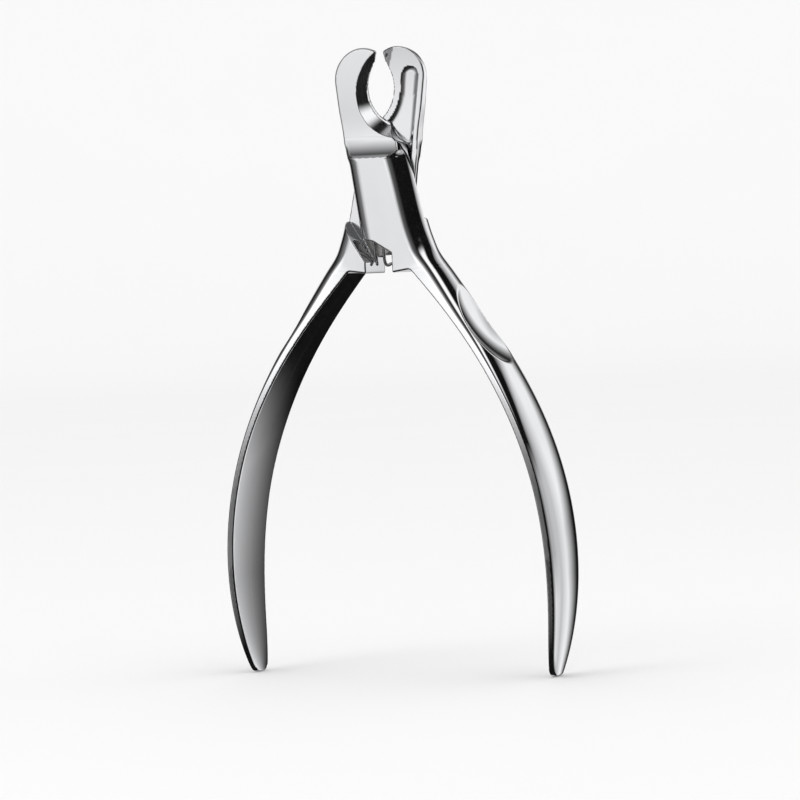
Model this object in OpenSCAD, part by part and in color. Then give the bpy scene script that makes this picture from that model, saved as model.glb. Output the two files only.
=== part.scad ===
// Scissor nail clipper: two lapped levers, one pivot screw and one wire return spring.
// Units are millimetres. X is left to right, Y is front to back, Z is up towards the jaws.
// Each lever is drawn with the tool closed and the pivot at the origin, then swung open.

/* [Levers] */
// angle between the levers from the closed drawing to rest
open_angle = 16; // [12:0.5:18]
// thickness of the lapped body, front to back
body_thickness = 8.8; // [8:0.1:10]
// half the width of the jaws and of the body above the pivot
jaw_half_width = 5.7; // [5.4:0.1:6]
// thickness of one jaw at its shoulder
jaw_thickness = 2.6; // [2.4:0.1:3.2]
// thickness of one jaw at its tip
jaw_tip_thickness = 1.4; // [1:0.1:2.2]
// clearance between the two lapped faces
lap_clearance = 0.1; // [0.06:0.01:0.2]

/* [Cutting notch] */
// radius of the ground cutting edge
notch_radius = 7.5; // [6.8:0.1:8]
// how much wider the ground bevel is at the outer face than at the edge
bevel_spread = 2.6; // [0.8:0.1:2.8]
// depth of the relief pocket in the sliding face
relief_depth = 0.35; // [0.2:0.05:0.6]

/* [Handles] */
// greatest width of a handle, front to back
handle_width = 14.1; // [11:0.1:15]
// thickness of the flat strip along each handle edge
handle_edge = 1.05; // [0.8:0.05:1.6]
// depth of the thumb scoop in the outer face of each handle
scoop_depth = 1.9; // [0.6:0.1:2.2]
// depth of the flat ground on the end of each handle, on which the tool stands
tip_flat = 0.4; // [0.3:0.05:0.6]

/* [Pivot and spring] */
// radius of the pivot screw's shank
pivot_radius = 2; // [1.6:0.1:2.1]
// radial running clearance of the rear lever on the shank
pivot_clearance = 0.03; // [0.02:0.01:0.08]
// diameter of the spring wire
wire_diameter = 0.6; // [0.5:0.05:0.7]

/* [Hidden] */
$fn = 96;

half_body = body_thickness / 2;
half_lap = lap_clearance / 2;
half_open = open_angle / 2;
steel = [0.80, 0.81, 0.83];
spring_steel = [0.62, 0.63, 0.65];

// heights in the closed drawing, measured from the pivot
jaw_round_z = 23.5;
jaw_round_r = jaw_half_width + 0.05;
// how much narrower the jaw is just above the shoulder
jaw_waist = 0.2;
taper_start_z = 12.4;
// how far the rounding of the body's sides reaches in from each side
side_round = 3.6;
shoulder_z = 8.1;
shoulder_tilt = 8.5;
// the concave fillet at the shoulder: its radius, and how far it climbs above the shoulder
hollow_r = 5.9;
hollow_rise = sqrt(pow(hollow_r, 2) - pow(hollow_r - half_body + jaw_thickness, 2));
notch_centre = [notch_radius + 0.3, 20.55];
bevel_centre = notch_centre + [-0.35, -0.35];
scallop_centre = [8.7, 14.1];
scallop_r = 4.9;
crotch_z = -14.1;

// the spring chamber and the screw's seat
chamber_r = 4.2;
chamber_depth = 1.15;
head_r = 3.4;
head_height = 1.3;
head_seat_y = half_body - head_height - 0.1;
screw_end_y = -3.3;

// inner edge of a handle, a cubic curve from the crotch to the tip
handle_curve = [[3.3, -12.2], [11.9, -25.5], [33.2, -51.5], [17.63, -93.97]];
// outer side of the body, a cubic curve from the jaw shoulder to the handle
side_curve = [[jaw_half_width - 0.1, 12.4], [7.9, 1], [6.2, -6.5], [9.95, -14.06]];
handle_steps = 30;
side_steps = 12;
scoop_t = 0.3235;
scoop_r = 23.5;

// ---------- small functions ----------

function bezier(p, t) =
    pow(1 - t, 3) * p[0] + 3 * pow(1 - t, 2) * t * p[1] + 3 * (1 - t) * t * t * p[2] + pow(t, 3) * p[3];

function bezier_slope(p, t) =
    3 * pow(1 - t, 2) * (p[1] - p[0]) + 6 * (1 - t) * t * (p[2] - p[1]) + 3 * t * t * (p[3] - p[2]);

function unit(v) = v / norm(v);

function mix(a, b, t) = a + (b - a) * t;

function smooth(t) = let (u = min(max(t, 0), 1)) u * u * (3 - 2 * u);

// half the handle's width at each point along it
function handle_half(t) =
    let (grow = mix(half_body, handle_width / 2, smooth(t / 0.62)))
    let (tail = t < 0.62 ? 1 : sqrt(max(1 - pow((t - 0.62) / 0.39, 3.2), 0.02)))
    grow * tail;

// thickness of the flat strip along the handle's edge
function edge_depth(t) =
    let (near_tip = max(t - 0.86, 0) / 0.14)
    mix(2.3, handle_edge, smooth(t / 0.28)) * (1 - 0.2 * near_tip * near_tip);

// how far the handle's outer face bulges past that strip
function bulge(t) =
    let (near_tip = max(t - 0.8, 0) / 0.2)
    mix(2.7, 1.3, smooth((t - 0.12) / 0.5)) * (1 - 0.5 * near_tip * near_tip);

// the inner face turns slightly outwards near the tip
function tip_shift(t) = t < 0.93 ? 0 : 0.2 * pow((t - 0.93) / 0.07, 2);

// one handle section: flat inside, two edge strips, rounded outside
function handle_section(t) =
    let (at = bezier(handle_curve, t))
    let (along = unit(bezier_slope(handle_curve, t)))
    let (out = [-along[1], along[0]])
    let (w = handle_half(t))
    let (e = edge_depth(t))
    let (b = bulge(t))
    let (s = tip_shift(t))
    concat(
        [[at[0] + out[0] * s, w, at[1] + out[1] * s]],
        [for (k = [0:10]) let (a = 90 - 18 * k) let (d = e + b * cos(a))
            [at[0] + out[0] * d, w * sin(a), at[1] + out[1] * d]],
        [[at[0] + out[0] * s, -w, at[1] + out[1] * s]]);

// one level of the body: flat front and back, rounded sides
function body_section(t) =
    let (at = bezier(side_curve, t))
    concat(
        [for (k = [0:10]) let (a = 90 - 18 * k)
            [at[0] - side_round + side_round * cos(a), half_body * sin(a), at[1]]],
        [for (k = [0:10]) let (a = -90 + 18 * k)
            [-jaw_half_width + side_round - side_round * cos(a), half_body * sin(a), at[1]]]);

// skin over a list of sections that all have the same number of points
function skin_faces(rings, n) = concat(
    [[for (i = [0:n - 1]) i]],
    [for (r = [0:rings - 2]) for (i = [0:n - 1])
        [r * n + i, (r + 1) * n + i, (r + 1) * n + (i + 1) % n, r * n + (i + 1) % n]],
    [[for (i = [0:n - 1]) (rings - 1) * n + n - 1 - i]]);

// height of the pivot above the flats on the handle tips, at rest
tip_height = -tip_flat - min([for (p = handle_section(1)) sin(half_open) * p[0] + cos(half_open) * p[2]]);

function flat(lists) = [for (l = lists) for (p = l) p];

// ring of points round a wire path
function wire_ring(p, i) =
    let (n = len(p))
    let (along = unit(p[min(i + 1, n - 1)] - p[max(i - 1, 0)]))
    let (a = unit(cross(along, [0.13, 1, 0.07])))
    let (b = cross(along, a))
    [for (k = [0:9]) p[i] + wire_diameter / 2 * (cos(36 * k) * a + sin(36 * k) * b)];

// ---------- building blocks ----------

// a flat outline in X and Z, made solid from y0 to y1
module slab(y0, y1) {
    translate([0, y1, 0]) rotate([90, 0, 0]) linear_extrude(y1 - y0) children();
}

// a round bar along Y
module bar(r, y0, y1) {
    translate([0, y1, 0]) rotate([90, 0, 0]) cylinder(h = y1 - y0, r = r);
}

module skin(sections) {
    polyhedron(flat(sections), skin_faces(len(sections), len(sections[0])), convexity = 6);
}

module handle() {
    skin([for (i = [0:handle_steps]) handle_section(i / handle_steps)]);
}

module body_skin() {
    skin([for (i = [0:side_steps]) body_section(i / side_steps)]);
}

// outline of the half-thick lap plate; edge is its lower free edge
module lap_outline(edge) {
    polygon(concat([[-7, -5]], edge, [[0.85, -13.73], [0.85, crotch_z], [14, crotch_z], [14, 12.3], [-7, 12.3]]));
}

// outline of the full-thick root of the handle
module root_outline() {
    polygon([[0.85, crotch_z], [0.85, -13.73], [1.1, -12], [7.5, -4.5], [14, -4.5], [14, crotch_z]]);
}

module body(edge) {
    intersection() {
        body_skin();
        union() {
            slab(-6, -half_lap) lap_outline(edge);
            slab(-6, 6) root_outline();
        }
    }
}

module jaw_outline() {
    difference() {
        union() {
            translate([0.05, jaw_round_z]) circle(jaw_round_r);
            polygon([[jaw_waist - jaw_half_width, 11.5], [jaw_waist - jaw_half_width, 14], [-jaw_half_width, 19],
                [-jaw_half_width, jaw_round_z], [jaw_half_width - 0.1, jaw_round_z], [jaw_half_width - 0.1, 11.5]]);
        }
        // blunt nose of the jaw
        translate([2.95, 26.4]) rotate(-25) square([4, 6]);
    }
}

// ground bevel that runs from the cutting edge to the outer face
module notch_cut() {
    edge_land = 0.3;
    translate([notch_centre[0], 0, notch_centre[1]]) bar(notch_radius, -jaw_thickness - 1, 1);
    translate([bevel_centre[0], -edge_land, bevel_centre[1]]) rotate([90, 0, 0])
        cylinder(h = 3, r1 = notch_radius, r2 = notch_radius + bevel_spread);
}

// the outer face of the jaw falls back towards the tip
module jaw_taper_cut() {
    drop = atan((jaw_thickness - jaw_tip_thickness) / (jaw_round_z + jaw_round_r - taper_start_z));
    translate([0, -jaw_thickness, taper_start_z]) rotate([-drop, 0, 0]) translate([-12, -8, -0.2]) cube([24, 8, 30]);
}

// hollow ground in the sliding face, open only towards the pivot
module relief_cut() {
    slab(-relief_depth - half_lap, 1) difference() {
        union() {
            translate([-jaw_half_width + 2.95, 24.05]) circle(1.75);
            translate([-jaw_half_width + 1.2, 15]) square([3.5, 9.05]);
            translate([-jaw_half_width + 1.2, 6.5]) square([5.7, 14.05]);
        }
        translate(notch_centre) circle(notch_radius + 1.25);
    }
}

// small lead-in facet at the tip of the sliding face
module lead_in_cut() {
    translate([1.5, 0, 27]) rotate([0, -7.7, 0]) rotate([0, 0, 14]) translate([0, 0, -6]) cube([8, 4, 12]);
}

module jaw() {
    difference() {
        slab(-jaw_thickness, -half_lap) jaw_outline();
        notch_cut();
        jaw_taper_cut();
        relief_cut();
        translate([0, -half_lap, 0]) lead_in_cut();
    }
}

// concave fillet between the jaw's face and the thicker body
module shoulder_cut() {
    top = shoulder_z + hollow_rise;
    rotate([0, shoulder_tilt, 0]) {
        translate([-20, -jaw_thickness - hollow_r, top]) rotate([0, 90, 0]) cylinder(h = 40, r = hollow_r);
        translate([-20, -half_body - 1, top]) cube([40, half_body + 1 - jaw_thickness, 8]);
    }
}

// chamber for the spring's coil and the channel its leg runs down
module spring_chamber() {
    slab(-chamber_depth - half_lap, 1) union() {
        circle(chamber_r);
        polygon([[-4, 0], [-3.6, -12.2], [0.9, -12.2], [4, -7.6], [4, 0]]);
    }
}

// shallow thumb scoop in the outer face of the handle
module scoop_cut() {
    at = bezier(handle_curve, scoop_t);
    along = unit(bezier_slope(handle_curve, scoop_t));
    reach = edge_depth(scoop_t) + bulge(scoop_t) + scoop_r - scoop_depth;
    translate([at[0] - along[1] * reach, 0, at[1] + along[0] * reach]) sphere(r = scoop_r);
}

module lever(edge) {
    difference() {
        union() {
            body(edge);
            handle();
            jaw();
        }
        shoulder_cut();
        slab(-6, 1) translate(scallop_centre) circle(scallop_r);
        scoop_cut();
        intersection() {
            spring_chamber();
            slab(-6, 0.01) lap_outline(edge);
        }
    }
}

// ---------- the pieces ----------

// what the flat on each handle tip takes away, at rest
module ground_cut() {
    translate([-60, -20, -tip_height - 10]) cube([120, 40, 10]);
}

// lifts a piece drawn about the pivot so that the handle tips stand on the ground
module stand() {
    translate([0, 0, tip_height]) children();
}

module front_lever() {
    color(steel) stand() difference() {
        rotate([0, -half_open, 0])
            lever([[-5.9, -5.4], [-3.83, -6.95], [-2.04, -7.66], [1.3, -10.4]]);
        bar(pivot_radius, screw_end_y, 1);
        ground_cut();
    }
}

module rear_lever() {
    color(steel) stand() difference() {
        rotate([0, 0, 180]) rotate([0, -half_open, 0])
            lever([[-5.9, -5.4], [-2.6, -8], [-0.38, -10.5], [1.25, -10.9]]);
        bar(pivot_radius + pivot_clearance, -1, 6);
        bar(head_r + 0.1, head_seat_y, 6);
        ground_cut();
    }
}

module pivot_screw() {
    color(steel) stand() difference() {
        union() {
            bar(pivot_radius, screw_end_y, head_seat_y + 0.2);
            bar(head_r, head_seat_y + 0.03, half_body);
        }
        translate([-5, half_body - 0.55, -0.4]) cube([10, 2, 0.8]);
    }
}

// the spring's wire path: hooked right leg, coil, left leg
coil_r = 2.7;
coil_points = 46;
function coil_point(i) =
    let (u = i / coil_points)
    let (a = -18 + 698 * u)
    [coil_r * cos(a), -0.6 + 1.2 * u, coil_r * sin(a)];
right_leg = [[2.2, -2.9, -12.0], [1.5, -2.8, -12.35], [0.8, -2.5, -12.3], [0.2, -1.9, -11.6],
    [-0.3, -1.1, -10.2], [-0.5, -0.65, -8.9], [-0.2, -0.6, -7.6], [1.4, -0.6, -3]];
left_leg = [[-2.8, 0.6, -3.2], [-3.1, 0.6, -6.4], [-3.1, 0.6, -8.4], [-2.85, 0.3, -10.2],
    [-2.35, -0.2, -11.5], [-2.05, -0.5, -12.4]];
spring_path = concat(right_leg, [for (i = [0:coil_points]) coil_point(i)], left_leg);

module return_spring() {
    color(spring_steel) stand()
        skin([for (i = [0:len(spring_path) - 1]) wire_ring(spring_path, i)]);
}

front_lever();
rear_lever();
pivot_screw();
return_spring();
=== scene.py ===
"""Visual model of the scissor nail clipper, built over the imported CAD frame.

Each lever is described by a smooth field that is negative inside the steel. The field is drawn
in millimetres with the tool closed and the pivot at the origin, meshed on a fine grid, and then
swung open to its place at rest. The rear lever is the same forging turned half a turn.
"""

import math

import bpy
import numpy as np
from mathutils import Matrix, Vector


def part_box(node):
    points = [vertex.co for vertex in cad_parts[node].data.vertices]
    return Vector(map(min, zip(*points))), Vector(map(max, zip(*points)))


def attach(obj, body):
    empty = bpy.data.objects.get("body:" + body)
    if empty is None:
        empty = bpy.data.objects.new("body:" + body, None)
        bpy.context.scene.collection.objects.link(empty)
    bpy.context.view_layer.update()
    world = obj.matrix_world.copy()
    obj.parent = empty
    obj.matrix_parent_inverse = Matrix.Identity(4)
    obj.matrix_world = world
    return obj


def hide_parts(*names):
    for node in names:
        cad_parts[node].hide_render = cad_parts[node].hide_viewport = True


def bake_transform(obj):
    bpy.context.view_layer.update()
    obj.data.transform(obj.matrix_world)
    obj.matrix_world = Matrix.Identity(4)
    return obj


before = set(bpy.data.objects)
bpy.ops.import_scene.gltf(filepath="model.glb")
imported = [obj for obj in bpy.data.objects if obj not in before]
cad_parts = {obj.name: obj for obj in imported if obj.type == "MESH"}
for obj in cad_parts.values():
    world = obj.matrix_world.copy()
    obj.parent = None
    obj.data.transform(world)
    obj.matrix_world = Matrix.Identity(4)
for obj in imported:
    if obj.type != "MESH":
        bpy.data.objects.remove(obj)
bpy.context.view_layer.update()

# ---------- sizes, in millimetres ----------

# They follow the CAD's. The jaw's round end and the handle's bulge are a hair smaller, so that
# the finer surface stays inside the CAD's box.
HALF_OPEN = math.radians(8)
HALF_BODY = 4.4
HALF_LAP = 0.05
JAW_HALF_WIDTH = 5.7
JAW_THICKNESS = 2.6
JAW_WAIST = 0.2
JAW_TIP_THICKNESS = 1.4
JAW_RIGHT = 5.6
JAW_ROUND = (0.05, 23.5, 5.749)
JAW_NOSE = (2.95, 26.4)
JAW_NOSE_TURN = math.radians(-25)
NOTCH = (7.8, 20.55, 7.5)
BEVEL_CENTRE = (7.45, 20.2)
BEVEL_SPREAD = 2.6
BEVEL_LAND = 0.3
BEVEL_HEIGHT = 3.0
SCALLOP = (8.7, 14.1, 4.9)
SHOULDER_Z = 8.1
TAPER_START = 11.4
TAPER_LENGTH = 16.9
SHOULDER_TILT = math.tan(math.radians(8.5))
HOLLOW_RADIUS = 5.9
HOLLOW_RISE = math.sqrt(HOLLOW_RADIUS**2 - (HOLLOW_RADIUS - HALF_BODY + JAW_THICKNESS) ** 2)
CROTCH_Z = -14.1
SIDE_ROUND = 3.6
JAW_SIDE_ROUNDS = (1.4, 0.8)
ROUND_CHANGE_Z = 7.2
RELIEF_DEPTH = 0.35
RELIEF_FADE = 1.1
RELIEF_MARGIN = 1.25
RELIEF_STEM = (-2.75, 24.05, 1.75)
RELIEF_FOOT = (-4.5, 1.2, 6.5, 20.55)
LEAD_IN = (1.5, 27.0)
LEAD_IN_TURN = 0.135
LEAD_IN_SLOPE = 0.25
CHAMBER_RADIUS = 4.2
CHAMBER_DEPTH = 1.2
PIVOT_RADIUS = 2.0
HEAD_RADIUS = 3.4
HEAD_SEAT = 3.0
SCREW_END = -3.3
SHANK_TOP = 3.2
HEAD_DOME = 0.012
SLOT_HALF_WIDTH = 0.4
SLOT_FLOOR = 3.85
HANDLE_HALF_WIDTH = 7.05
HANDLE_WIDEST_AT = 0.62
EDGE_DEPTHS = (2.3, 1.05)
BULGES = (2.7, 1.285)
TIP_FLARE = 0.2
INNER_CROWN = 0.13
SCOOP_RADIUS = 23.5
SCOOP_DEPTH = 1.9
SCOOP_AT = 0.3235
HANDLE_CURVE = np.array([[3.3, -12.2], [11.9, -25.5], [33.2, -51.5], [17.63, -93.97]])
# the curve is followed a little way back before its first point
HANDLE_CURVE_LOW = -0.02
HANDLE_END_SPEED = 3 * math.hypot(*(HANDLE_CURVE[3] - HANDLE_CURVE[2]))
SIDE_CURVE = np.array([[5.6, 12.4], [7.9, 1.0], [6.2, -6.5], [9.95, -14.06]])
FRONT_EDGE = [[-5.9, -5.4], [-3.83, -6.95], [-2.04, -7.66], [1.3, -10.4]]
REAR_EDGE = [[-5.9, -5.4], [-2.6, -8.0], [-0.38, -10.5], [1.25, -10.9]]
LAP_START = [[-9.0, -5.0]]
LAP_END = [[0.85, -13.73], [0.85, CROTCH_Z], [14.0, CROTCH_Z], [14.0, 45.0], [-9.0, 45.0]]
ROOT = [[0.85, CROTCH_Z], [0.85, -13.73], [1.1, -12.0], [7.5, -4.5], [14.0, -4.5], [14.0, CROTCH_Z]]
CHANNEL = [[-4.0, 0.0], [-3.6, -12.2], [0.9, -12.2], [4.0, -7.6], [4.0, 0.0]]
WIRE_RADIUS = 0.3
WIRE_SIDES = 16
COIL_RADIUS = 2.7
COIL_HALF_LENGTH = 0.6
COIL_START = -18
COIL_TURN = 698
COIL_POINTS = 46

# the boxes that a lever, drawn closed, and the screw are meshed in, and the step of a lever's grid
LEVER_BOX = ((-6.5, -7.5, -96.6), (26.4, 7.5, 30.0))
SCREW_BOX = ((-4.0, -4.0, -4.0), (4.0, 5.0, 4.0))
GRID_STEP = 0.215
# the screw's middle is the pivot's height above the ground: half the sum of its box, in millimetres
PIVOT_HEIGHT = 500 * (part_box("pivot_screw")[0].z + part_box("pivot_screw")[1].z)


# ---------- fields ----------


def smooth_max(a, b, k):
    """The larger of two fields, with the edge between them rounded over about k."""
    h = np.maximum(k - np.abs(a - b), 0) / k
    return np.maximum(a, b) + h * h * k * 0.25


def smooth_min(a, b, k):
    return -smooth_max(-a, -b, k)


def smooth_step(t):
    u = np.clip(t, 0, 1)
    return u * u * (3 - 2 * u)


def mix(a, b, t):
    return a + (b - a) * t


def bezier(p, t):
    """X and Z on a cubic curve at t."""
    s = 1 - t
    shares = (s**3, 3 * s * s * t, 3 * s * t * t, t**3)
    return [sum(share * point[i] for share, point in zip(shares, p)) for i in (0, 1)]


def bezier_slope(p, t):
    """The curve's first derivative."""
    d = 3 * (p[1:] - p[:-1])
    s = 1 - t
    return [s * s * d[0, i] + 2 * s * t * d[1, i] + t * t * d[2, i] for i in (0, 1)]


def bezier_bend(p, t):
    """The curve's second derivative."""
    d = 3 * (p[1:] - p[:-1])
    d = 2 * (d[1:] - d[:-1])
    return [(1 - t) * d[0, i] + t * d[1, i] for i in (0, 1)]


def polygon_field(x, z, points):
    """Signed distance to a closed outline in X and Z."""
    best = np.full(np.broadcast(x, z).shape, 1e9)
    inside = np.zeros(best.shape, bool)
    for (ax, az), (bx, bz) in zip(points, points[1:] + points[:1]):
        ex = bx - ax
        ez = bz - az
        t = np.clip(((x - ax) * ex + (z - az) * ez) / (ex * ex + ez * ez), 0, 1)
        best = np.minimum(best, (x - ax - t * ex) ** 2 + (z - az - t * ez) ** 2)
        crosses = (az > z) != (bz > z)
        inside ^= crosses & (x < ax + (z - az) / (ez if ez else 1e-9) * ex)
    return np.where(inside, -1, 1) * np.sqrt(best)


def circle_field(x, z, circle):
    return np.hypot(x - circle[0], z - circle[1]) - circle[2]


def nearest_step(x, z):
    """A first guess of how far along the handle's curve each point lies, from 0 to 1."""
    steps = np.linspace(HANDLE_CURVE_LOW, 1, 240)
    cx, cz = bezier(HANDLE_CURVE, steps)
    flat_x = np.ravel(x)
    flat_z = np.ravel(z)
    out = np.empty(flat_x.size)
    chunk = 20000
    for i in range(0, flat_x.size, chunk):
        px = flat_x[i : i + chunk, None]
        pz = flat_z[i : i + chunk, None]
        out[i : i + chunk] = steps[np.argmin((px - cx) ** 2 + (pz - cz) ** 2, axis=1)]
    return out.reshape(np.shape(x))


def along_handle(x, z, guess):
    """Place along the handle's curve, distance out from it, and distance past its end."""
    t = guess
    for _ in range(3):
        cx, cz = bezier(HANDLE_CURVE, t)
        sx, sz = bezier_slope(HANDLE_CURVE, t)
        bx, bz = bezier_bend(HANDLE_CURVE, t)
        slope = (cx - x) * sx + (cz - z) * sz
        bend = sx * sx + sz * sz + (cx - x) * bx + (cz - z) * bz
        t = np.clip(t - slope / np.maximum(bend, 200.0), HANDLE_CURVE_LOW, 1.0)
    cx, cz = bezier(HANDLE_CURVE, t)
    sx, sz = bezier_slope(HANDLE_CURVE, t)
    length = np.hypot(sx, sz)
    out = (-(x - cx) * sz + (z - cz) * sx) / length
    past = ((x - cx) * sx + (z - cz) * sz) / length
    return t, out, past


def handle_half(t):
    """Half the handle's width at each place along it."""
    grow = mix(HALF_BODY, HANDLE_HALF_WIDTH, smooth_step(t / HANDLE_WIDEST_AT))
    tail = np.sqrt(np.maximum(1 - (np.maximum(t - HANDLE_WIDEST_AT, 0) / 0.39) ** 3.2, 0.02))
    return grow * tail


def edge_depth(t):
    """Thickness of the flat strip along the handle's edge."""
    near_tip = np.maximum(t - 0.86, 0) / 0.14
    return mix(*EDGE_DEPTHS, smooth_step(t / 0.28)) * (1 - 0.2 * near_tip**2)


def bulge(t):
    """How far the handle's outer face bulges past that strip."""
    near_tip = np.maximum(t - 0.8, 0) / 0.2
    return mix(*BULGES, smooth_step((t - 0.12) / 0.5)) * (1 - 0.5 * near_tip**2)


def rounded_section(u, v, bulge_mm, half_mm):
    """Field of a half ellipse. u and v run from 0 at its middle to 1 at its edges."""
    slope = np.hypot(2 * u / bulge_mm, 2 * v / half_mm)
    return (u * u + v * v - 1) / np.maximum(slope, 0.08)


def handle_skin(y, t, out):
    """Field of the handle's rounded outer face."""
    half = handle_half(t)
    depth = bulge(t)
    return rounded_section(np.maximum(out - edge_depth(t), 0) / depth, np.abs(y) / half, depth, half)


def body_side(z):
    """X of the body's outer side at each height."""
    table = np.linspace(0, 1, 200)
    heights = bezier(SIDE_CURVE, table)[1]
    z = np.clip(z, heights[-1], heights[0])
    t = np.interp(-z, -heights, table)
    for _ in range(2):
        t = t - (bezier(SIDE_CURVE, t)[1] - z) / bezier_slope(SIDE_CURVE, t)[1]
    return bezier(SIDE_CURVE, t)[0]


def front_depth(x, z):
    """How far forward the lever's outer face lies: body, hollow shoulder, then tapered jaw."""
    level = z + SHOULDER_TILT * x
    rise = np.clip(SHOULDER_Z + HOLLOW_RISE - level, 0, HOLLOW_RISE)
    hollow = JAW_THICKNESS + HOLLOW_RADIUS - np.sqrt(HOLLOW_RADIUS**2 - rise**2)
    up = np.maximum(z - TAPER_START, 0)
    taper = (JAW_THICKNESS - JAW_TIP_THICKNESS) / TAPER_LENGTH * up * up / (up + 1.0)
    return np.where(level < SHOULDER_Z, HALF_BODY, hollow - taper)


def body_skin(x, y, z):
    """Field of the rounded body, whose sides get sharper where the jaw starts."""
    depth = np.where(y < 0, front_depth(x, z), HALF_BODY)
    right_round = mix(SIDE_ROUND, JAW_SIDE_ROUNDS[1], smooth_step((z - ROUND_CHANGE_Z) / 1.4))
    right = (x - body_side(z) + right_round) / right_round
    left_round = mix(SIDE_ROUND, JAW_SIDE_ROUNDS[0], smooth_step((z - ROUND_CHANGE_Z) / 3))
    left = (-JAW_HALF_WIDTH + left_round - x) / left_round
    u = np.maximum(np.maximum(right, left), 0)
    return rounded_section(u, np.abs(y) / depth, SIDE_ROUND, depth)


def jaw_outline(x, z):
    """Negative inside the jaw as seen from the front, without its notch."""
    left = -JAW_HALF_WIDTH + JAW_WAIST * smooth_step((19 - z) / 5)
    sides = np.maximum(np.maximum(left - x, x - JAW_RIGHT), z - JAW_ROUND[1])
    outline = np.minimum(circle_field(x, z, JAW_ROUND), sides)
    c = math.cos(JAW_NOSE_TURN)
    s = math.sin(JAW_NOSE_TURN)
    across = (x - JAW_NOSE[0]) * c + (z - JAW_NOSE[1]) * s
    above = -(x - JAW_NOSE[0]) * s + (z - JAW_NOSE[1]) * c
    return smooth_max(outline, np.minimum(across, above), 0.3)


def jaw_skin(x, y, z):
    """Field of the jaw's sides and of its outer face."""
    return smooth_max(jaw_outline(x, z), -(y + front_depth(x, z)), 0.4)


def outer_skin(x, y, z, t, out):
    """The forging's outer surface: jaw, body and handle, run into each other by height."""
    skin = mix(body_skin(x, y, z), jaw_skin(x, y, z), smooth_step((z - 8.8) / 3.4))
    skin = smooth_max(skin, -circle_field(x, z, SCALLOP), 0.3)
    return mix(skin, handle_skin(y, t, out), smooth_step((-9.0 - z) / 6.0))


def relief_outline(x, z):
    """Negative inside the relief pocket, which keeps its margin from the cutting edge."""
    middle, top, radius = RELIEF_STEM
    left, right, low, high = RELIEF_FOOT
    stem = np.hypot(x - middle, z - np.clip(z, 8.0, top)) - radius
    foot = np.maximum(np.maximum(left - x, x - right), np.maximum(low - z, z - high))
    kept = circle_field(x, z, (NOTCH[0], NOTCH[1], NOTCH[2] + RELIEF_MARGIN))
    return smooth_max(smooth_min(stem, foot, 0.5), -kept, 0.4)


def relief(x, z):
    """Depth of the hollow grind and of the lead-in facet on the sliding face."""
    pocket = relief_outline(x, z)
    hollow = RELIEF_DEPTH * (1 - np.clip(1 + pocket / RELIEF_FADE, 0, 1) ** 2)
    hollow = np.where(pocket < 0, hollow, 0)
    past = (x - LEAD_IN[0]) * math.cos(LEAD_IN_TURN) + (z - LEAD_IN[1]) * math.sin(LEAD_IN_TURN)
    return hollow + np.where(z > 22, LEAD_IN_SLOPE * np.maximum(past, 0), 0)


def notch_field(x, y, z):
    """Positive in the steel that the ground notch takes away."""
    bore = NOTCH[2] - np.hypot(x - NOTCH[0], z - NOTCH[1])
    spread = (-y - BEVEL_LAND) * BEVEL_SPREAD / BEVEL_HEIGHT
    # 0.88 brings the cone's field nearer to a true distance
    cone = (NOTCH[2] + spread - np.hypot(x - BEVEL_CENTRE[0], z - BEVEL_CENTRE[1])) * 0.88
    return np.maximum(bore, np.minimum(cone, -y - BEVEL_LAND))


def chamber_field(x, y, z):
    """Negative inside the spring's chamber."""
    flat = np.minimum(np.hypot(x, z) - CHAMBER_RADIUS, polygon_field(x, z, CHANNEL))
    return smooth_max(flat, -(y + CHAMBER_DEPTH), 0.25)


def scoop_field(x, y, z):
    """Positive in the steel that the thumb scoop takes away."""
    cx, cz = bezier(HANDLE_CURVE, SCOOP_AT)
    sx, sz = bezier_slope(HANDLE_CURVE, SCOOP_AT)
    length = math.hypot(sx, sz)
    reach = edge_depth(SCOOP_AT) + bulge(SCOOP_AT) + SCOOP_RADIUS - SCOOP_DEPTH
    mx = cx - sz / length * reach
    mz = cz + sx / length * reach
    return SCOOP_RADIUS - np.sqrt((x - mx) ** 2 + y * y + (z - mz) ** 2)


def screw_hole(x, y, z, through):
    """Negative inside the hole: a seat and a through bore behind, a blind bore in front."""
    r = np.hypot(x, z)
    if not through:
        return np.maximum(r - PIVOT_RADIUS, SCREW_END - 0.05 - y)
    return np.minimum(r - PIVOT_RADIUS - 0.03, np.maximum(r - HEAD_RADIUS - 0.1, y + HEAD_SEAT))


def handle_inside(y, t, out, past):
    """Field of the handle's slightly crowned inner face and of its two ends."""
    crown = INNER_CROWN * smooth_step((t - 0.25) / 0.3) * (1 - (y / handle_half(t)) ** 2)
    shift = TIP_FLARE * np.clip((t - 0.93) / 0.07, 0, 1) ** 2
    end = past - (1 - t) * HANDLE_END_SPEED + 0.2 * y * y
    return np.maximum(shift - crown - out, np.maximum(end, -past - 0.25))


def lap_plate(x, y, z, rear):
    """Field of the half-thick plate with its relief, and of the full-thick root under it."""
    edge = REAR_EDGE if rear else FRONT_EDGE
    plate = smooth_max(y + HALF_LAP + relief(x, z), polygon_field(x, z, LAP_START + edge + LAP_END), 0.2)
    return np.minimum(plate, polygon_field(x, z, ROOT))


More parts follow.
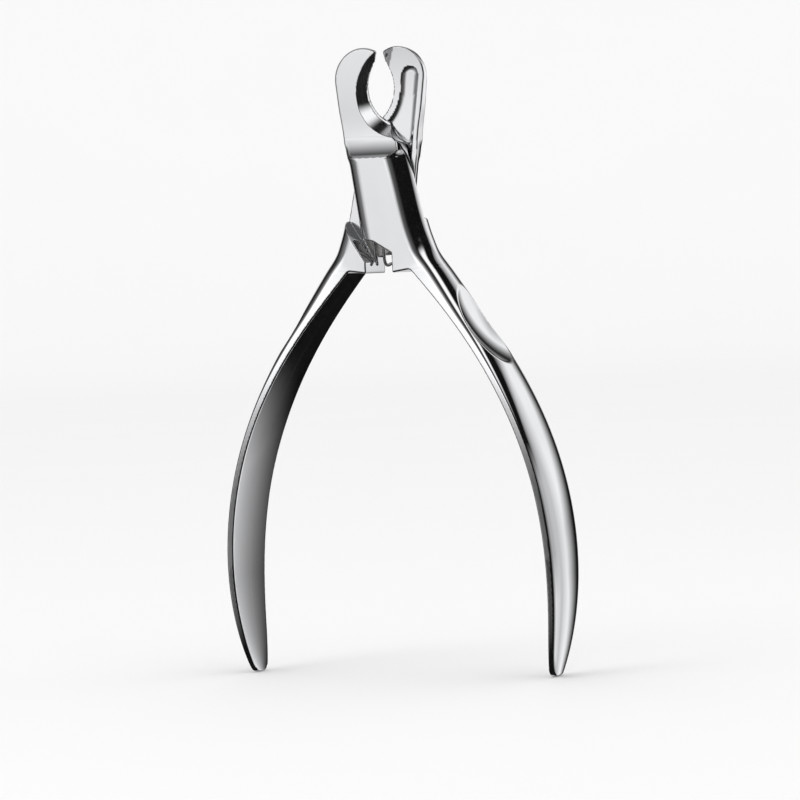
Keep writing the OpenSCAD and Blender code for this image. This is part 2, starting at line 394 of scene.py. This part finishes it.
def lever_field(x, y, z, guess, rear):
    """Negative inside one lever, which differs between front and rear in its edge and its hole."""
    t, out, past = along_handle(x, z, guess)
    inner = smooth_min(lap_plate(x, y, z, rear), handle_inside(y, t, out, past), 0.5)
    field = smooth_max(outer_skin(x, y, z, t, out), inner, 0.3)
    field = smooth_max(field, notch_field(x, y, z), 0.06)
    field = smooth_max(field, scoop_field(x, y, z), 0.2)
    below = -PIVOT_HEIGHT - x * math.sin(HALF_OPEN) - z * math.cos(HALF_OPEN)
    field = smooth_max(field, below, 0.5)
    chamber = np.maximum(chamber_field(x, y, z), -polygon_field(x, z, ROOT))
    field = smooth_max(field, -chamber, 0.15)
    return smooth_max(field, -screw_hole(x, y, z, rear), 0.1)


def screw_field(x, y, z):
    """The pivot screw at rest, with its slotted head at the back."""
    r = np.hypot(x, z)
    dome = HALF_BODY - 0.05 - HEAD_DOME * r * r
    head = smooth_max(r - HEAD_RADIUS, np.maximum(y - dome, HEAD_SEAT + 0.03 - y), 0.35)
    shank = np.maximum(r - PIVOT_RADIUS, np.maximum(y - SHANK_TOP, SCREW_END - y))
    slot = np.maximum(np.abs(z) - SLOT_HALF_WIDTH, SLOT_FLOOR - y)
    return smooth_max(np.minimum(head, shank), -slot, 0.2)


# ---------- meshing ----------


def sample_grid(field, low, high, step):
    """The field's values on a grid, worked out a few layers at a time to save memory."""
    x, y, z = (np.arange(a, b + step, step) for a, b in zip(low, high))
    values = np.empty((len(x), len(y), len(z)), np.float32)
    layers = 48
    for k in range(0, len(z), layers):
        part = z[k : k + layers]
        values[:, :, k : k + layers] = field(x[:, None, None], y[None, :, None], part[None, None, :])
    return values


def net_points(values, cells):
    """One point in each cell that the surface passes through: the mean of its edge crossings."""
    corners = [np.array(c) for c in np.ndindex(2, 2, 2)]
    total = np.zeros(cells.shape)
    count = np.zeros(len(cells))
    for a in corners:
        for axis in range(3):
            if a[axis]:
                continue
            b = a.copy()
            b[axis] = 1
            va = values[tuple((cells + a).T)]
            vb = values[tuple((cells + b).T)]
            cut = (va < 0) != (vb < 0)
            share = np.where(cut, va / np.where(cut, va - vb, 1), 0)
            total += np.where(cut[:, None], a + share[:, None] * (b - a), 0)
            count += cut
    return cells + total / count[:, None]


def net_faces(inside, index):
    """One quad for each grid edge that the surface crosses, joining the four cells round it."""
    faces = []
    for axis in range(3):
        order = (axis, (axis + 1) % 3, (axis + 2) % 3)
        turned = np.transpose(inside, order)
        ids = np.transpose(index, order)
        here = turned[:-1]
        there = turned[1:]
        i, j, k = np.nonzero((here != there)[:, 1:-1, 1:-1])
        quad = np.stack([ids[i, j, k], ids[i, j + 1, k], ids[i, j + 1, k + 1], ids[i, j, k + 1]], 1)
        back = ~here[i, j + 1, k + 1]
        quad[back] = quad[back][:, ::-1]
        faces.append(quad)
    return np.concatenate(faces).tolist()


def surface_net(field, box, step):
    """Points and quads of the surface where the field is zero, inside a box."""
    low, high = box
    values = sample_grid(field, low, high, step)
    inside = values < 0
    count = np.zeros([n - 1 for n in values.shape], np.uint8)
    for c in np.ndindex(2, 2, 2):
        count += inside[tuple(slice(a, a + n) for a, n in zip(c, count.shape))]
    cells = np.argwhere((count > 0) & (count < 8))
    index = np.full(count.shape, -1, np.int64)
    index[tuple(cells.T)] = np.arange(len(cells))
    points = np.array(low) + step * net_points(values, cells)
    return points, net_faces(inside, index)


def gradient(field, p, reach):
    """The field's slope along each axis at each point."""
    out = np.empty(p.shape)
    for axis in range(3):
        move = np.zeros(3)
        move[axis] = reach
        out[:, axis] = (field(p + move) - field(p - move)) / (2 * reach)
    return out


def settle(field, p, step):
    """Moves each point on to the surface, by less than a grid step, and finds the normals there."""
    start = p.copy()
    for _ in range(4):
        g = gradient(field, p, 0.02)
        size = np.maximum((g * g).sum(1), 0.05)
        p = p - 0.9 * (field(p) / size)[:, None] * g
        p = start + np.clip(p - start, -0.6 * step, 0.6 * step)
    g = gradient(field, p, 0.03)
    return p, g / np.maximum(np.linalg.norm(g, axis=1), 1e-9)[:, None]


def make_mesh(name, points, faces, normals=None):
    """A mesh object in metres from points in millimetres about the pivot."""
    mesh = bpy.data.meshes.new(name)
    place = points * 0.001 + np.array([0, 0, PIVOT_HEIGHT * 0.001])
    mesh.from_pydata(place.tolist(), [], faces)
    mesh.polygons.foreach_set("use_smooth", np.ones(len(mesh.polygons), bool))
    if normals is not None:
        mesh.normals_split_custom_set_from_vertices(normals.tolist())
    mesh.update()
    obj = bpy.data.objects.new(name, mesh)
    bpy.context.scene.collection.objects.link(obj)
    return obj


def mark(obj, name, values):
    """Stores one number for each point, for a material to read by name."""
    attribute = obj.data.attributes.new(name, "FLOAT", "POINT")
    attribute.data.foreach_set("value", np.asarray(values, np.float32))


def swing_open(p, rear):
    """Turns points or directions from the closed drawing to the lever's place at rest."""
    c = math.cos(HALF_OPEN)
    s = math.sin(HALF_OPEN)
    turned = np.stack([p[:, 0] * c - p[:, 2] * s, p[:, 1], p[:, 0] * s + p[:, 2] * c], 1)
    if rear:
        turned[:, :2] *= -1
    return turned


def lever_marks(p):
    """Where the steel is ground, rubbed flat or left rough."""
    x, y, z = p.T
    bevel = (notch_field(x, y, z) > -0.05) & (y < -BEVEL_LAND) & (z > 8)
    rough = (chamber_field(x, y, z) < 0.05) & (y < 0.1)
    sliding = (np.abs(y + HALF_LAP + relief(x, z)) < 0.06) & ~rough
    return bevel, rough, sliding


def make_lever(name, rear):
    """One lever's mesh at rest, with its points settled on the surface and marked."""

    def on_grid(x, y, z):
        guess = nearest_step(*np.broadcast_arrays(x[:, :, :1] * 1.0, z[:1, :, :]))
        return lever_field(x, y, z, guess, rear)

    points, faces = surface_net(on_grid, LEVER_BOX, GRID_STEP)
    guess = nearest_step(points[:, 0], points[:, 2])
    points, normals = settle(lambda p: lever_field(*p.T, guess, rear), points, GRID_STEP)
    obj = make_mesh(name, swing_open(points, rear), faces, swing_open(normals, rear))
    for key, values in zip(("bevel", "rough", "sliding"), lever_marks(points)):
        mark(obj, key, values)
    return obj


def make_screw():
    step = GRID_STEP / 2
    points, faces = surface_net(screw_field, SCREW_BOX, step)
    points, normals = settle(lambda p: screw_field(*p.T), points, step)
    return make_mesh("screw", points, faces, normals)


def smooth_path(controls, per_span):
    """A Catmull-Rom curve through the control points."""
    p = np.array([controls[0]] + controls + [controls[-1]], float)
    t = np.linspace(0, 1, per_span, endpoint=False)[:, None]
    spans = []
    for a, b, c, d in zip(p, p[1:], p[2:], p[3:]):
        square = 2 * a - 5 * b + 4 * c - d
        cube = 3 * b - a - 3 * c + d
        spans.append(0.5 * (2 * b + (c - a) * t + square * t**2 + cube * t**3))
    return np.concatenate(spans + [p[-1:]])


def tube(path, radius, sides):
    """Points and faces of a round wire with domed ends along a path."""
    along = np.gradient(path, axis=0)
    along /= np.linalg.norm(along, axis=1)[:, None]
    side = np.cross(along[0], [0.1, 1, 0.2])
    rings = []
    turn = np.linspace(0, 2 * math.pi, sides, endpoint=False)[:, None]
    shrink = np.ones(len(path))
    for i, r in enumerate((0.35, 0.75, 0.94)):
        shrink[i] = shrink[-1 - i] = r
    for p, a, r in zip(path, along, shrink):
        side = side - a * side.dot(a)
        side /= np.linalg.norm(side)
        rings.append(p + radius * r * (np.cos(turn) * side + np.sin(turn) * np.cross(a, side)))
    faces = []
    for i in range(len(rings) - 1):
        for k in range(sides):
            n = (k + 1) % sides
            faces.append([i * sides + k, i * sides + n, (i + 1) * sides + n, (i + 1) * sides + k])
    last = (len(rings) - 1) * sides
    faces.append(list(range(sides))[::-1])
    faces.append([last + k for k in range(sides)])
    return np.concatenate(rings), faces


def make_spring():
    """The hooked right leg, the coil round the pivot and the left leg, as one wire."""
    right = [[2.2, -2.9, -12.0], [1.5, -2.8, -12.35], [0.8, -2.5, -12.3], [0.2, -1.9, -11.6]]
    right += [[-0.3, -1.1, -10.2], [-0.5, -0.65, -8.9], [-0.2, -0.6, -7.6], [1.4, -0.6, -3.0]]
    coil = []
    for i in range(COIL_POINTS + 1):
        share = i / COIL_POINTS
        turn = math.radians(COIL_START + COIL_TURN * share)
        along = COIL_HALF_LENGTH * (2 * share - 1)
        coil.append([COIL_RADIUS * math.cos(turn), along, COIL_RADIUS * math.sin(turn)])
    left = [[-2.8, 0.6, -3.2], [-3.1, 0.6, -6.4], [-3.1, 0.6, -8.4], [-2.85, 0.3, -10.2]]
    left += [[-2.35, -0.2, -11.5], [-2.05, -0.5, -12.4]]
    points, faces = tube(smooth_path(right + coil + left, 6), WIRE_RADIUS, WIRE_SIDES)
    return make_mesh("spring_wire", points, faces)


# ---------- materials ----------


class Nodes:
    """Short names for building one node tree, a material's or the world's."""

    def __init__(self, owner):
        owner.use_nodes = True
        self.owner = owner
        self.tree = owner.node_tree
        self.shader = self.tree.nodes.get("Principled BSDF")

    def add(self, kind, **inputs):
        """A new node. Inputs are named with _ for a space, or numbered, as in _0."""
        node = self.tree.nodes.new("ShaderNode" + kind)
        for key, value in inputs.items():
            socket = node.inputs[int(key[1:])] if key[0] == "_" else node.inputs[key.replace("_", " ")]
            self.put(socket, value)
        return node

    def put(self, socket, value):
        if isinstance(value, bpy.types.NodeSocket):
            self.tree.links.new(value, socket)
        else:
            socket.default_value = value

    def place(self, scale):
        """The object's own position, in metres, scaled along each axis."""
        coord = self.tree.nodes.new("ShaderNodeTexCoord")
        return self.add("Mapping", Vector=coord.outputs["Object"], Scale=scale).outputs["Vector"]

    def noise(self, scale, detail=3.0, rough=0.5):
        node = self.add("TexNoise", Vector=self.place(scale), Scale=1.0, Detail=detail, Roughness=rough)
        return node.outputs["Fac"]

    def ramp(self, value, low, high, at_low, at_high):
        """Straight from at_low to at_high as the value goes from low to high, and level outside."""
        ends = {"From_Min": low, "From_Max": high, "To_Min": at_low, "To_Max": at_high}
        return self.add("MapRange", Value=value, **ends).outputs["Result"]

    def soft_step(self, value, low, high):
        """From 0 at low to 1 at high, with no corner at either end."""
        node = self.add("MapRange", Value=value, From_Min=low, From_Max=high)
        node.interpolation_type = "SMOOTHSTEP"
        return node.outputs["Result"]

    def math(self, operation, a, b):
        node = self.add("Math", _0=a, _1=b)
        node.operation = operation
        return node.outputs[0]

    def blend(self, share, a, b):
        node = self.tree.nodes.new("ShaderNodeMix")
        node.data_type = "RGBA"
        self.put(node.inputs["Factor"], share)
        self.put(node.inputs[6], a)
        self.put(node.inputs[7], b)
        return node.outputs[2]

    def mask(self, name):
        node = self.tree.nodes.new("ShaderNodeAttribute")
        node.attribute_name = name
        return node.outputs["Fac"]

    def bump(self, height, distance, **below):
        return self.add("Bump", Height=height, Distance=distance, Strength=1.0, **below).outputs["Normal"]


def new_material(name):
    return Nodes(bpy.data.materials.new(name))


def polished_steel():
    """Mirror polish with faint buffing lines and smudges. Masks mark ground, worn and rough areas."""
    n = new_material("polished_steel")
    smudge = n.ramp(n.noise((90, 90, 60), 4), 0.45, 0.75, 0.0, 1.0)
    lines = n.noise((2600, 2600, 130), 2, 0.6)
    peel = n.noise((160, 160, 90), 1.5)
    rough = n.math("ADD", n.math("MULTIPLY", smudge, 0.035), n.math("MULTIPLY", lines, 0.03))
    rough = n.math("ADD", rough, 0.035)
    colour = n.blend(smudge, (0.83, 0.835, 0.85, 1), (0.78, 0.785, 0.80, 1))
    height = n.math("ADD", n.math("MULTIPLY", lines, 0.12), peel)
    normal = n.bump(height, 0.0000045)
    grind = n.noise((500, 9000, 500), 2, 0.6)
    for mask, more in (("bevel", 0.07), ("sliding", 0.08), ("rough", 0.38)):
        rough = n.math("ADD", rough, n.math("MULTIPLY", n.mask(mask), more))
    pits = n.noise((2200, 2200, 2200), 3, 0.7)
    colour = n.blend(n.mask("rough"), colour, (0.62, 0.61, 0.60, 1))
    normal = n.bump(n.math("MULTIPLY", grind, n.mask("bevel")), 0.000006, Normal=normal)
    normal = n.bump(n.math("MULTIPLY", pits, n.mask("rough")), 0.00009, Normal=normal)
    n.put(n.shader.inputs["Base Color"], colour)
    n.put(n.shader.inputs["Roughness"], rough)
    n.put(n.shader.inputs["Normal"], normal)
    metal = n.ramp(n.mask("rough"), 0.0, 1.0, 1.0, 0.55)
    n.put(n.shader.inputs["Metallic"], metal)
    return n.owner


def turned_steel():
    """The screw: satin steel with fine rings from turning."""
    n = new_material("turned_steel")
    coord = n.tree.nodes.new("ShaderNodeTexCoord")
    parts = n.add("SeparateXYZ", Vector=coord.outputs["Object"])
    up = n.math("SUBTRACT", parts.outputs["Z"], PIVOT_HEIGHT * 0.001)
    square = n.math("ADD", n.math("POWER", parts.outputs["X"], 2.0), n.math("POWER", up, 2.0))
    ring = n.math("MULTIPLY", n.math("POWER", square, 0.5), 42000.0)
    rings = n.math("SINE", ring, 0.0)
    wear = n.noise((700, 700, 700), 4)
    n.put(n.shader.inputs["Base Color"], n.blend(wear, (0.72, 0.72, 0.73, 1), (0.60, 0.60, 0.61, 1)))
    n.put(n.shader.inputs["Roughness"], n.ramp(wear, 0.3, 0.7, 0.16, 0.30))
    n.put(n.shader.inputs["Normal"], n.bump(n.math("ADD", rings, wear), 0.000004))
    n.shader.inputs["Metallic"].default_value = 1.0
    return n.owner


def drawn_wire():
    """The spring: drawn wire, slightly darker, with fine marks along it."""
    n = new_material("drawn_wire")
    marks = n.noise((5000, 5000, 900), 3)
    n.put(n.shader.inputs["Base Color"], n.blend(marks, (0.62, 0.62, 0.63, 1), (0.45, 0.45, 0.46, 1)))
    n.put(n.shader.inputs["Roughness"], n.ramp(marks, 0.3, 0.7, 0.18, 0.36))
    n.put(n.shader.inputs["Normal"], n.bump(marks, 0.000008))
    n.shader.inputs["Metallic"].default_value = 1.0
    return n.owner


def pale_floor():
    """Matt and nearly white, with a faint slow grain."""
    n = new_material("pale_floor")
    grain = n.noise((9, 9, 9), 4)
    n.put(n.shader.inputs["Base Color"], n.blend(grain, (0.86, 0.86, 0.86, 1), (0.84, 0.84, 0.84, 1)))
    n.put(n.shader.inputs["Roughness"], n.ramp(grain, 0.2, 0.8, 0.7, 0.8))
    return n.owner


# ---------- the pieces ----------


def dress(obj, material, body, node):
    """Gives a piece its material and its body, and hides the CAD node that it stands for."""
    obj.data.materials.append(material)
    if body:
        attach(obj, body)
    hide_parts(node)


steel = polished_steel()
front = make_lever("front_lever_steel", rear=False)
rear = make_lever("rear_lever_steel", rear=True)
screw = make_screw()
spring = make_spring()
dress(front, steel, "front_half", "front_lever")
dress(rear, steel, "rear_half", "rear_lever")
dress(screw, turned_steel(), "front_half", "pivot_screw")
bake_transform(spring)
dress(spring, drawn_wire(), None, "return_spring")


# ---------- floor, light and camera ----------

# The cards and the world's lamps show in glossy reflections alone. Their azimuth is in degrees
# from +X towards +Y.
CARD_DISTANCE = 300
# the mirrored studio where no lamp reaches
DARKEST = 0.005
# the white room that the camera and matt surfaces see
ROOM_STRENGTH = 1.13


def make_floor():
    """A pale floor that sweeps up into a pale wall all round."""
    flat = 1.6
    bend = 0.8
    top = 4.0
    steps = 16
    turns = 96
    profile = [(flat, 0.0)]
    for i in range(1, steps + 1):
        a = math.radians(90 * i / steps)
        profile.append((flat + bend * math.sin(a), bend - bend * math.cos(a)))
    profile.append((flat + bend, top))
    points = []
    for radius, height in profile:
        for k in range(turns):
            a = 2 * math.pi * k / turns
            points.append((radius * math.cos(a), radius * math.sin(a), height))
    faces = [list(range(turns))]
    for i in range(len(profile) - 1):
        for k in range(turns):
            n = (k + 1) % turns
            faces.append([i * turns + k, (i + 1) * turns + k, (i + 1) * turns + n, i * turns + n])
    mesh = bpy.data.meshes.new("floor")
    mesh.from_pydata(points, [], faces)
    mesh.polygons.foreach_set("use_smooth", np.ones(len(faces), bool))
    floor = bpy.data.objects.new("floor", mesh)
    bpy.context.scene.collection.objects.link(floor)
    mesh.materials.append(pale_floor())
    floor.visible_glossy = False
    floor.visible_shadow = False
    floor.visible_diffuse = False


def soft_window(n, value, low, high, soft):
    """1 between low and high, falling smoothly to 0 over the soft margin on both sides."""
    rise = n.soft_step(value, low - soft, low + soft)
    fall = n.soft_step(value, high + soft, high - soft)
    return n.math("MULTIPLY", rise, fall)


def tent(n, value, low, level, still_level, high):
    """0 up to low, 1 from level to still_level, and 0 again from high on, with straight slopes."""
    rise = n.ramp(value, low, level, 0.0, 1.0)
    fall = n.ramp(value, still_level, high, 1.0, 0.0)
    return n.math("MULTIPLY", rise, fall)


def glow(name, field):
    """A material that only glows, with its brightness from a field."""
    n = new_material(name)
    n.tree.nodes.remove(n.shader)
    light = n.add("Emission")
    n.tree.links.new(field(n), light.inputs["Color"])
    clear = n.add("BsdfTransparent")
    both = n.add("AddShader", _0=light.outputs[0], _1=clear.outputs[0])
    n.tree.links.new(both.outputs[0], n.tree.nodes["Material Output"].inputs["Surface"])
    return n.owner


def make_card(name, azimuth, low, high, brightness):
    """An upright light card that only the steel mirrors, facing the pivot from CARD_DISTANCE away.

    Places on it are in millimetres: across, towards greater azimuth, and up from the pivot.
    """
    mesh = bpy.data.meshes.new(name)
    corners = [(low[0], low[1]), (high[0], low[1]), (high[0], high[1]), (low[0], high[1])]
    mesh.from_pydata([(a * 0.001, b * 0.001, 0) for a, b in corners], [], [(0, 1, 2, 3)])
    card = bpy.data.objects.new(name, mesh)
    bpy.context.scene.collection.objects.link(card)
    c = math.cos(math.radians(azimuth))
    s = math.sin(math.radians(azimuth))
    place = Vector((c * CARD_DISTANCE, s * CARD_DISTANCE, PIVOT_HEIGHT)) * 0.001
    card.matrix_world = Matrix.Translation(place) @ Matrix(((-s, 0, c), (c, 0, s), (0, 1, 0))).to_4x4()

    def field(n):
        coord = n.tree.nodes.new("ShaderNodeTexCoord")
        parts = n.add("SeparateXYZ", Vector=coord.outputs["Object"])
        across = n.math("MULTIPLY", parts.outputs["X"], 1000.0)
        up = n.math("MULTIPLY", parts.outputs["Y"], 1000.0)
        return brightness(n, across, up)

    mesh.materials.append(glow(name, field))
    card.visible_camera = False
    card.visible_diffuse = False
    card.visible_shadow = False


def product(n, first, *rest):
    for value in rest:
        first = n.math("MULTIPLY", first, value)
    return first


def back_card(n, across, up):
    """The tall lamp behind on the right, soft on both sides and leaning outwards as it rises."""
    lean = n.ramp(up, 90.0, 150.0, 0.0, 60.0)
    near = n.ramp(n.math("SUBTRACT", across, lean), -180.0, -10.0, 0.0, 1.0)
    reach = n.math("ADD", n.ramp(up, -60.0, 45.0, 30.0, 100.0), n.ramp(up, -160.0, -100.0, 36.0, 0.0))
    far = n.math("POWER", n.ramp(n.math("SUBTRACT", reach, across), -66.0, 50.0, 0.0, 1.0), 2.0)
    return product(n, near, far, tent(n, up, -330.0, -260.0, 310.0, 400.0))


def side_card(n, across, up):
    """The dimmer low lamp at the right side, brighter near the ground."""
    level = n.ramp(up, -150.0, -80.0, 0.9, 0.5)
    wide = tent(n, across, -80.0, 130.0, 150.0, 330.0)
    return product(n, level, wide, tent(n, up, -330.0, -260.0, 20.0, 78.0))


def front_card(n, across, up):
    """The level lamp in front on the left, which fades downwards along the handles."""
    steep = n.ramp(across, 37.0, 190.0, 0.75, 0.0)
    slow = n.ramp(across, 37.0, 500.0, 0.25, 0.0)
    left = n.ramp(across, -210.0, -16.0, 0.0, 1.0)
    low = n.ramp(up, -75.0, -12.0, 0.1, 1.0)
    return product(n, n.math("ADD", steep, slow), left, low, n.ramp(up, 34.0, 68.0, 1.0, 0.0), 0.82)


def high_front_lamp(n, azimuth, elevation):
    """The broad lamp above the front card. It fades upwards and leans to the left as it rises."""
    lean = n.ramp(elevation, 15.0, 65.0, 0.0, 40.0)
    steep = n.ramp(azimuth, -108.0, -82.0, 0.75, 0.0)
    slow = n.ramp(azimuth, -108.0, -52.0, 0.25, 0.0)
    left = n.ramp(n.math("ADD", azimuth, lean), -150.0, -118.0, 0.0, 1.0)
    return product(n, n.math("ADD", steep, slow), left, tent(n, elevation, 1.0, 12.0, 16.0, 66.0))


def top_glow(n, azimuth, elevation):
    """A soft light high on the right, in front, for the ground bevel."""
    return product(n, soft_window(n, azimuth, -48, -8, 10), soft_window(n, elevation, 37, 66, 10), 1.2)


def full_turn(n, azimuth):
    """The azimuth counted from 0 to 360 degrees."""
    turned = n.math("WRAP", azimuth, 0.0)
    turned.node.inputs[1].default_value = 360.0
    turned.node.inputs[2].default_value = 0.0
    return turned


def back_wall(n, azimuth, elevation):
    """A pale wall and ceiling behind the tool, for the views from the back and from above."""
    turned = full_turn(n, azimuth)
    wall = product(n, soft_window(n, turned, 100, 140, 10), soft_window(n, elevation, -40, 95, 15), 0.6)
    ceiling = product(n, soft_window(n, turned, 50, 200, 20), n.ramp(elevation, 50.0, 72.0, 0.0, 0.5))
    return n.math("MAXIMUM", wall, ceiling)


def left_glow(n, azimuth, elevation):
    """A dim wall to the left of the front lamp."""
    across = tent(n, full_turn(n, azimuth), 160.0, 215.0, 225.0, 255.0)
    return product(n, across, soft_window(n, elevation, -25, 24, 10), 0.26)


def make_world():
    """A white room for everything except the steel, which mirrors soft zones of a dark studio."""
    world = bpy.data.worlds.new("studio")
    bpy.context.scene.world = world
    n = Nodes(world)
    n.tree.nodes.clear()
    coord = n.tree.nodes.new("ShaderNodeTexCoord")
    parts = n.add("SeparateXYZ", Vector=coord.outputs["Generated"])
    azimuth = n.math("DEGREES", n.math("ARCTAN2", parts.outputs["Y"], parts.outputs["X"]), 0.0)
    elevation = n.math("DEGREES", n.math("ARCSINE", parts.outputs["Z"], 0.0), 0.0)
    total = DARKEST
    for lamp in (high_front_lamp, top_glow, left_glow, back_wall):
        total = n.math("MAXIMUM", lamp(n, azimuth, elevation), total)
    mirror = n.add("Background")
    n.tree.links.new(total, mirror.inputs["Color"])
    pale = n.add("Background", Color=(1, 1, 1, 1), Strength=ROOM_STRENGTH)
    path = n.tree.nodes.new("ShaderNodeLightPath")
    glossy = path.outputs["Is Glossy Ray"]
    mixed = n.add("MixShader", _0=glossy, _1=pale.outputs[0], _2=mirror.outputs[0])
    out = n.tree.nodes.new("ShaderNodeOutputWorld")
    n.tree.links.new(mixed.outputs[0], out.inputs["Surface"])


def make_key():
    """A small soft lamp above on the left, for the floor's faint shadow."""
    light = bpy.data.lights.new("key", "AREA")
    light.shape = "DISK"
    light.size = 0.5
    light.energy = 1.0
    lamp = bpy.data.objects.new("key", light)
    bpy.context.scene.collection.objects.link(lamp)
    lamp.location = (-0.35, -0.55, 0.8)
    aim = Vector((0, 0, 0.05)) - lamp.location
    lamp.rotation_euler = aim.to_track_quat("-Z", "Y").to_euler()
    lamp.visible_glossy = False


def make_camera():
    """The photograph's view: from the front right, almost level, with a long lens."""
    azimuth, elevation, roll = map(math.radians, (25.3, 1.55, 2.34))
    distance = 0.6223
    below_pivot = 0.0309
    to_the_right = 0.00145
    aim_drop = 0.00725
    level = math.cos(elevation)
    back = Vector((math.sin(azimuth) * level, -math.cos(azimuth) * level, math.sin(elevation)))
    right = Vector((math.cos(azimuth), math.sin(azimuth), 0))
    up = back.cross(right)
    centre = Vector((0, 0, PIVOT_HEIGHT * 0.001 - below_pivot)) + right * to_the_right
    place = centre + back * distance
    aim = centre - (up * math.cos(roll) + right * math.sin(roll)) * aim_drop
    camera = bpy.data.objects.new("camera", bpy.data.cameras.new("camera"))
    bpy.context.scene.collection.objects.link(camera)
    view = (place - aim).normalized()
    side = up.cross(view).normalized()
    turn = Matrix((side, view.cross(side), view)).transposed()
    camera.matrix_world = Matrix.Translation(place) @ turn.to_4x4() @ Matrix.Rotation(-roll, 4, "Z")
    camera.data.lens = 146.9
    camera.data.sensor_width = 36
    camera.data.clip_start = 0.01
    bpy.context.scene.camera = camera


make_card("back_card", 60, (-320, -335), (220, 405), back_card)
make_card("side_card", 0, (-260, -335), (340, 85), side_card)
make_card("front_card", -115, (-220, -130), (510, 75), front_card)
make_floor()
make_world()
make_key()
make_camera()
bpy.context.scene.view_settings.view_transform = "Standard"
